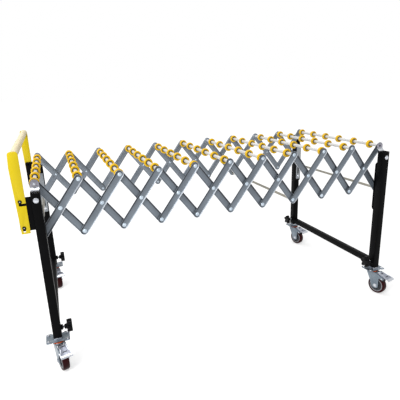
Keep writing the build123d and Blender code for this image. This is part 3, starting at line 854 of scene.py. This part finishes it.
def handle_bars():
    """The two flat yellow bars, shouldered on the outside, with round top corners and slots."""
    x = HANDLE_X
    foot, top = AXLE - 162.0, GRIP[1] + 10.0
    front = x + 18.5
    low = UPPER_PIN - LIFT
    outline = [(x - 11.0, foot), (front, foot), (front, low - 4.5)]
    outline += [(x + 4.5 * cos(a), low + 4.5 * sin(a)) for a in (-pi / 2, -2.0, -2.4, -2.8, -pi)]
    outline += [(x + 4.5 * cos(a), UPPER_PIN + 4.5 * sin(a)) for a in (pi, 2.6, 2.1, pi / 2, 1.05, 0.5, 0.0)]
    outline += [(x + 4.5, low + 4.5), (front, low + 4.5)]
    crown = corners_rounded([
        (front, UPPER_PIN, 0), (front, top - 10.0, 5.0), (x + 14.5, top, 8.0), (x - 14.5, top, 9.0),
        (x - 18.0, top - 52.0, 14.0), (x - 11.0, foot, 0)], 5)
    outline += crown[1:-1]
    shape = bmesh.new()
    slot = slot_outline(x, LOWER_PIN - LIFT / 2, LIFT / 2, 4.5)
    plate(shape, at(0, HANDLE_FACE + 2.0, 0) @ UPRIGHT, outline, [slot], 4.0, 0.6)
    both_sides(shape)
    piece("handle_flats", shape, YELLOW, "handle", ["handle_bars"])


def handle_grip():
    """The round grip: a core tube with moulded ribs."""
    shape = bmesh.new()
    end = HANDLE_FACE
    turned(shape, at(GRIP[0], 0, GRIP[1]) @ TO_FAR,
           ((0, -end), (13.3, -end), (13.3, end), (0, end)), 32)
    piece("grip_core", shape, CREAM, "handle", ["handle_grip"])
    places = [(GRIP[0], (index - (RIB_COUNT - 1) / 2) * RIB_PITCH, GRIP[1]) for index in range(RIB_COUNT)]
    repeated("grip_ribs", RINGS, places, ring_sizes(13.0, 8.6, 2.0, 0.8, 32, 2), CREAM, "handle")


def handle_plates():
    """The black plates behind the legs and the headed pins through them, with a bright disc on each pin head
    as painted highlight.
    """
    left, right = HANDLE_X - 13.0, column_x(1) - LEG / 2 + 0.5
    bottom, top = LOWER_PIN - 13.0, UPPER_PIN + 13.0
    shape = bmesh.new()
    outline = corners_rounded([(left, bottom, 8), (right, bottom, 0), (right, top, 0), (left, top, 8)])
    plate(shape, at(0, LEG_OUT - 6.0, 0) @ UPRIGHT, outline, (), 4.0, 0.5)
    both_sides(shape)
    piece("handle_plates", shape, BLACK, "left_frame", ["handle_brackets"])
    pins = bmesh.new()
    for z in (UPPER_PIN, LOWER_PIN):
        place = at(HANDLE_X, 0, z) @ TO_FAR
        start = HANDLE_FACE + 4.5
        turned(pins, place, (
            (0, LEG_OUT - 8.0), (4.0, LEG_OUT - 8.0), (4.0, start), (5.9, start), (6.4, start + 0.5),
            (6.2, start + 1.6), (5.0, start + 2.3), (0, start + 2.5)), 22)
    both_sides(pins)
    piece("handle_pins", pins, KNOB_BLACK, "left_frame")
    # Bright discs on the black pin heads: painted highlight.
    glint_discs = bmesh.new()
    for z in (UPPER_PIN, LOWER_PIN):
        start = HANDLE_FACE + 6.7
        place = at(HANDLE_X, 0, z) @ TO_FAR
        turned(glint_discs, place, ((0, start), (1.9, start), (1.7, start + 0.25), (0, start + 0.3)), 14)
    both_sides(glint_discs)
    piece("handle_pin_glints", glint_discs, BRIGHT_ZINC_AND_HIGHLIGHT, "left_frame")


handle_bars()
handle_grip()
handle_plates()


# Corners: inner leg with its plate, clamp knob, fork, wheel and brake pedal


def plate_outline():
    """The top plate: two deep pads joined by a narrower middle."""
    half = [(-44, -33, 7), (-25, -33, 4), (-21, -27, 4), (21, -27, 4), (25, -33, 4), (44, -33, 7)]
    return corners_rounded(half + [(-x, -y, r) for x, y, r in half], 4)


def inner_leg(corner, x, y):
    """The sliding zinc tube with its pressed top plate, bolts, race and dust ring."""
    body = f"leg_{corner}"
    shape = bmesh.new()
    side = LEG - 3.6
    deep = LEG_DEPTH - 3.6
    tube(shape, at(x, y, 0), side, deep, CASTER, CASTER + 330.0, 1.5, 2.0)
    tube(shape, at(x, y, 0), side + 1.5, deep + 1.5, CASTER, CASTER + 1.9, 2.0, 2.4)
    piece(f"inner_tube_{corner}", shape, BRIGHT_ZINC_AND_HIGHLIGHT, body, [f"inner_leg_{corner}"])
    foot = bmesh.new()
    bolt_places = [(sx * PLATE_BOLT[0], sy * PLATE_BOLT[1]) for sx in (-1, 1) for sy in (-1, 1)]
    slots = [slot_outline(dx, dy, 3.2, 3.4) for dx, dy in bolt_places]
    plate(foot, at(x, y, CASTER - 1.6), plate_outline(), slots, 3.2, 0.7)
    plate(foot, at(x, y, CASTER - 4.6), box_outline(27, 25, 6), (), 2.8, 0.6)
    race = ((0, 6.0), (24.0, 6.0), (23.6, 8.0), (20.0, 11.5), (0, 11.5))
    king_pin = ((0, 14.0), (6.0, 14.0), (6.0, 18.2), (0, 18.2))
    for profile, sides in ((race, 32), (king_pin, 16)):
        turned(foot, at(x, y, 0), [(radius, CASTER - drop) for radius, drop in profile], sides)
    piece(f"top_plate_{corner}", foot, CASTER_ZINC, body)
    bolts = bmesh.new()
    for dx, dy in bolt_places:
        hex_head(bolts, at(x + dx, y + dy, CASTER), 5.8, 3.4)
        turned(bolts, at(x + dx, y + dy, CASTER - 0.2), ((0, 0), (7.4, 0), (7.4, 0.9), (0, 0.9)), 18)
    hex_head(bolts, at(x, y, CASTER - 18.2) @ Matrix.Rotation(pi, 4, "X"), 9.8, 5.4)
    piece(f"plate_bolts_{corner}", bolts, BRIGHT_ZINC_AND_HIGHLIGHT, body)
    ring = bmesh.new()
    section = ((15.0, -1.2), (22.6, -1.2), (23.5, -0.6), (23.5, 1.0), (22.4, 1.4), (15.0, 1.4))
    hollow(ring, at(x, y, CASTER - 12.8), section, 36)
    piece(f"dust_ring_{corner}", ring, ORANGE, body)


def cheek_outline():
    """A fork cheek: wide at the crown, round at the axle and arched over the tread to the pedal's pin."""
    return corners_rounded([
        (-21, 107.4, 4), (25, 107.4, 7), (69.0, 93.5, 9), (67.5, 79.0, 7), (46.0, 84.5, 4), (45.0, 60.0, 8),
        (46.5, 28.3, 13.5), (16.0, 28.3, 13.5), (-3.0, 70.0, 20),
    ], 5)


def fork(corner, place):
    """The pressed fork with its axle bolt, nuts and pedal pin."""
    body = f"swivel_{corner}"
    shape = bmesh.new()
    for side in (-1, 1):
        plate(shape, place @ at(0, side * CHEEK, 0) @ UPRIGHT, cheek_outline(), (), 3.0, 0.6)
    crown = ((6.6, 104.2), (17.0, 104.2), (17.0, 96.0), (18.6, 96.0), (21.5, 100.0), (23.6, 104.4),
             (23.8, 106.4), (23.0, 107.4), (6.6, 107.4))
    hollow(shape, place, crown, 36)
    piece(f"fork_cheeks_{corner}", shape, CASTER_ZINC, body, [f"fork_{corner}"])
    bolts = bmesh.new()
    axis = place @ at(TRAIL, 0, ROLL)
    turned(bolts, axis @ TO_NEAR, ((0, -CHEEK_OUT), (5, -CHEEK_OUT), (5, CHEEK_OUT), (0, CHEEK_OUT)), 16)
    for turn in (pi / 2, -pi / 2):
        out = axis @ Matrix.Rotation(turn, 4, "X") @ at(0, 0, CHEEK_OUT)
        turned(bolts, out, ((0, 0), (8.6, 0), (8.6, 0.9), (8.0, 1.2), (0, 1.2)), 20)
        hex_head(bolts, out @ at(0, 0, 0.8), 7.4, 3.6)
    pin = place @ at(PEDAL_PIVOT[0], 0, PEDAL_PIVOT[1]) @ TO_NEAR
    turned(bolts, pin, ((0, -18), (2.4, -18), (2.4, 18), (0, 18)), 12)
    for turn in (0, pi):
        head = pin @ Matrix.Rotation(turn, 4, "X") @ at(0, 0, 18.8)
        turned(bolts, head, ((0, 0), (4.4, 0), (4.0, 1.0), (2.4, 1.5), (0, 1.6)), 14)
    piece(f"fork_bolts_{corner}", bolts, BRIGHT_ZINC_AND_HIGHLIGHT, body)


def caster_wheel(corner, place):
    """The wheel: maroon tread on a grey rim with a pale bead, ribs and hub."""
    body = f"wheel_{corner}"
    axis = place @ at(TRAIL, 0, ROLL) @ TO_NEAR
    tread = bmesh.new()
    half = [(32.5, 11.5), (38.0, 13.2), (40.2, 12.6), (41.7, 10.6), (42.4, 6.0)]
    hollow(tread, axis, [(r, -h) for r, h in half] + [(ROLL, 0.0)] + half[::-1], 48)
    piece(f"tread_{corner}", tread, TREAD, body, [f"caster_wheel_{corner}"])
    bead = bmesh.new()
    for half, sides in (([(29.6, 12.0), (30.4, 13.0), (32.0, 13.0), (32.8, 11.8)], 44),
                        ([(5.2, 13.8), (9.6, 13.8), (10.4, 13.0)], 28)):
        hollow(bead, axis, [(r, -h) for r, h in half] + half[::-1], sides)
    piece(f"rim_beads_{corner}", bead, BEAD, body)
    rim = bmesh.new()
    half = [(9.0, 10.0), (13.0, 10.0), (14.5, 5.0), (24.5, 5.0), (27.5, 10.5), (30.5, 11.0)]
    hollow(rim, axis, [(r, -h) for r, h in half] + half[::-1], 44)
    for step in range(8):
        rib = axis @ Matrix.Rotation(2 * pi * step / 8, 4, "Z")
        plate(rim, rib @ at(19.5, 0, 0) @ UPRIGHT, panel_outline(0, 7.5, -9.0, 9.0), (), 2.2, 0.4)
    piece(f"rim_{corner}", rim, RIM, body)


def pedal(corner, place):
    """The brake pedal: a pressed channel with a flared, lipped toe and a flat shoe over the tread."""
    body = f"brake_{corner}"
    shape = bmesh.new()
    px, pz = PEDAL_PIVOT
    path = ((35.9, 110.7), (44.0, 109.0), (54.0, 106.6), (63.0, 104.1), (71.0, 100.9), (80.0, 98.2),
            (90.0, 95.0), (96.0, 92.8), (99.2, 90.4), (100.4, 88.2))
    widths = (15.4, 15.5, 15.6, 15.6, 17.4, 21.6, 22.8, 23.0, 23.0, 22.6)
    strip(shape, place @ UPRIGHT, path, widths, 2.2)
    soften(shape, 0.5, 2, 50)
    for side in (-1, 1):
        flange = corners_rounded([
            (37.0, 110.5, 1), (64.0, 103.8, 1), (72.0, 100.4, 1), (90.0, 94.8, 1), (84.0, 92.0, 3),
            (72.0, 92.5, 6), (66.5, 79.8, 6), (55.0, 79.8, 6), (52.5, 97.0, 6), (40.0, 104.0, 3)])
        web = place @ at(0, side * 14.7, 0) @ UPRIGHT
        plate(shape, web, flange, [round_outline(px, pz, 2.6, 12)], 1.8, 0.3)
    hub = ((0, -15.4), (5.4, -15.4), (5.4, 15.4), (0, 15.4))
    turned(shape, place @ at(px, 0, pz) @ TO_NEAR, hub, 18)
    piece(f"pedal_plate_{corner}", shape, PEDAL_ZINC, body, [f"pedal_{corner}"])
    # Bright zinc strips on the raised rim, the toe's lip and the back end: painted highlight on the pedal's
    # edges, which are the same pressed steel as its plate.
    highlight_strips = bmesh.new()
    for side in (-1, 1):
        edge = [(u, v + 1.3) for u, v in path[1:8]]
        for (u0, v0), (u1, v1), w0, w1 in zip(edge, edge[1:], widths[1:], widths[2:]):
            ends = [(u0, v0, w0 - 3.2), (u0, v0, w0 - 0.6), (u1, v1, w1 - 0.6), (u1, v1, w1 - 3.2)]
            low = [highlight_strips.verts.new(place @ Vector((u, side * w, v - 0.6))) for u, v, w in ends]
            high = [highlight_strips.verts.new(place @ Vector((u, side * w, v + 0.3))) for u, v, w in ends]
            skin(highlight_strips, low, high)
            highlight_strips.faces.new(high)
            highlight_strips.faces.new(low[::-1])
    strip(highlight_strips, place @ UPRIGHT, [(u + 0.4, v + 0.9) for u, v in path[6:]], 22.4, 2.0)
    strip(highlight_strips, place @ UPRIGHT, [(u, v + 1.2) for u, v in path[:2]], 14.0, 0.8)
    piece(f"pedal_painted_highlight_{corner}", highlight_strips, BRIGHT_ZINC_AND_HIGHLIGHT, body)
    # Near black as painted shade: two thin strips for the pedal's slots and the shoe block under its pin.
    shoe = bmesh.new()
    for u, v in ((50.0, 109.0), (74.0, 101.4)):
        strip(shoe, place @ UPRIGHT, ((u, v), (u + 3.2, v - 0.9)), 8.0, 0.5)
    back, front, upper = px - 4.6, px + 4.6, pz - 3.0
    outline = [(back, ROLL + 35.9), (front, ROLL + 27.0), (front, upper), (back, upper)]
    plate(shoe, place @ UPRIGHT, outline, (), 24.0, 0.5)
    piece(f"pedal_shoe_{corner}", shoe, SHADE, body)


def knob(corner, x, y, inward):
    """The five-lobed clamp knob with its hub and screw."""
    shape = bmesh.new()
    face = LEG / 2 + 8.0 + 0.3
    outline = []
    for lobe in range(KNOB_LOBES):
        for step in range(LOBE_STEPS):
            a = 2 * pi * (lobe + step / LOBE_STEPS) / KNOB_LOBES
            reach = 21.8 + 5.2 * cos(KNOB_LOBES * a) - 0.8 * cos(2 * KNOB_LOBES * a)
            outline.append((reach * cos(a), reach * sin(a)))
    out = at(x, y, CLAMP) @ Matrix.Rotation(inward * pi / 2, 4, "Y")
    plate(shape, out @ at(0, 0, face + 24.0), outline, (), 20.0, 2.8)
    neck = ((0, 5.0), (8.6, 5.0), (9.8, 6.0), (10.0, 12.0), (13.0, 14.2), (0, 14.6))
    cap = ((0, 31.0), (9.6, 31.0), (9.0, 33.2), (7.0, 33.8), (0, 34.0))
    for profile in (neck, cap):
        turned(shape, out, [(radius, face + height) for radius, height in profile], 24)
    piece(f"clamp_star_{corner}", shape, KNOB_BLACK, f"clamp_{corner}", [f"knob_{corner}"])
    screw = bmesh.new()
    rings = []
    low, high = LEG / 2 - 1.4, face + 5.5
    count = 20
    for step in range(count + 1):
        rings.append((4.9 if step % 2 else 4.3, low + (high - low) * step / count))
    turned(screw, out, ((0, low), *rings, (0, high)), 14)
    piece(f"clamp_screw_{corner}", screw, BRIGHT_ZINC_AND_HIGHLIGHT, f"clamp_{corner}")


for end, column, inward in (("left", 1, 1), ("right", BAYS + 1, -1)):
    for side, y in (("near", -LEG_MIDDLE), ("far", LEG_MIDDLE)):
        corner = f"{side}_{end}"
        x = column_x(column)
        place = at(x, y, 0) @ Matrix.Rotation(HEADING, 4, "Z")
        inner_leg(corner, x, y)
        fork(corner, place)
        caster_wheel(corner, place)
        pedal(corner, place)
        knob(corner, x, y, inward)


# Floor, light and camera


def floor():
    """A plain pale floor that keeps the shadow and looks white to the camera and to gloss."""
    mesh = bpy.data.meshes.new("floor")
    mesh.from_pydata([(sx * FLOOR_REACH, sy * FLOOR_REACH, 0) for sx, sy in CORNER_SIGNS], [], [(0, 1, 2, 3)])
    obj = bpy.data.objects.new("floor", mesh)
    bpy.context.scene.collection.objects.link(obj)
    material, tree, shader = finish_nodes("floor_white")
    shader.inputs["Base Color"].default_value = (0.8, 0.8, 0.8, 1)
    shader.inputs["Roughness"].default_value = 0.9
    shader.inputs["Specular IOR Level"].default_value = 0.0
    shader.inputs["Emission Color"].default_value = (1, 1, 1, 1)
    place = tree.nodes.new("ShaderNodeTexCoord")
    away = tree.nodes.new("ShaderNodeVectorMath")
    away.operation = "LENGTH"
    lift = tree.nodes.new("ShaderNodeMapRange")
    lift.inputs["From Min"].default_value = 1.0
    lift.inputs["From Max"].default_value = 4.5
    lift.inputs["To Min"].default_value = 0.50
    lift.inputs["To Max"].default_value = 0.78
    glow = tree.nodes.new("ShaderNodeMath")
    glow.operation = "MULTIPLY"
    join(tree, (place, "Object", away, 0), (away, "Value", lift, "Value"), (lift, "Result", glow, 0))
    tree.links.new(camera_share(tree), glow.inputs[1])
    tree.links.new(glow.outputs[0], shader.inputs["Emission Strength"])
    mesh.materials.append(material)


def camera_share(tree):
    """1 for rays from the camera, gloss or glass, else 0."""
    path = tree.nodes.new("ShaderNodeLightPath")
    first = tree.nodes.new("ShaderNodeMath")
    second = tree.nodes.new("ShaderNodeMath")
    for node in (first, second):
        node.operation = "MAXIMUM"
    join(tree, (path, "Is Camera Ray", first, 0), (path, "Is Glossy Ray", first, 1), (first, 0, second, 0),
         (path, "Is Transmission Ray", second, 1))
    return second.outputs[0]


def world_light():
    """Even pale light: white to the camera and gloss, a little lower as light."""
    world = bpy.data.worlds.new("studio")
    bpy.context.scene.world = world
    world.use_nodes = True
    tree = world.node_tree
    background = tree.nodes["Background"]
    background.inputs["Color"].default_value = (1, 1, 1, 1)
    mix = tree.nodes.new("ShaderNodeMapRange")
    mix.inputs["To Min"].default_value = 0.36
    mix.inputs["To Max"].default_value = 1.0
    tree.links.new(camera_share(tree), mix.inputs["Value"])
    tree.links.new(mix.outputs["Result"], background.inputs["Strength"])


def lamp(name, place, target, size, power):
    """A soft square lamp that faces a point."""
    light = bpy.data.lights.new(name, "AREA")
    light.size = size
    light.energy = power
    obj = bpy.data.objects.new(name, light)
    obj.location = place
    obj.rotation_euler = (Vector(target) - Vector(place)).to_track_quat("-Z", "Y").to_euler()
    bpy.context.scene.collection.objects.link(obj)


def camera():
    """The photograph's view, found from the lattice's pivots and the legs."""
    data = bpy.data.cameras.new("camera")
    data.sensor_width = 36.0
    data.lens = 36.657
    data.shift_x = 0.0204
    data.shift_y = 0.01336
    obj = bpy.data.objects.new("camera", data)
    heading, pitch, roll = radians(18.344), radians(-16.834), radians(-2.571)
    aim = Matrix.Rotation(-heading, 4, "Z") @ Matrix.Rotation(pi / 2 + pitch, 4, "X")
    obj.matrix_world = at(-0.6682, -1.8199, 1.0414) @ aim @ Matrix.Rotation(roll, 4, "Z")
    bpy.context.scene.collection.objects.link(obj)
    bpy.context.scene.camera = obj


floor()
world_light()
lamp("key", (-2.6, -2.2, 2.6), (-0.4, 0, 0.6), size=1.8, power=100.0)
lamp("top", (-0.2, 0.6, 3.8), (-0.2, 0, 0.5), size=2.4, power=60.0)
camera()
bpy.context.scene.view_settings.view_transform = "Standard"
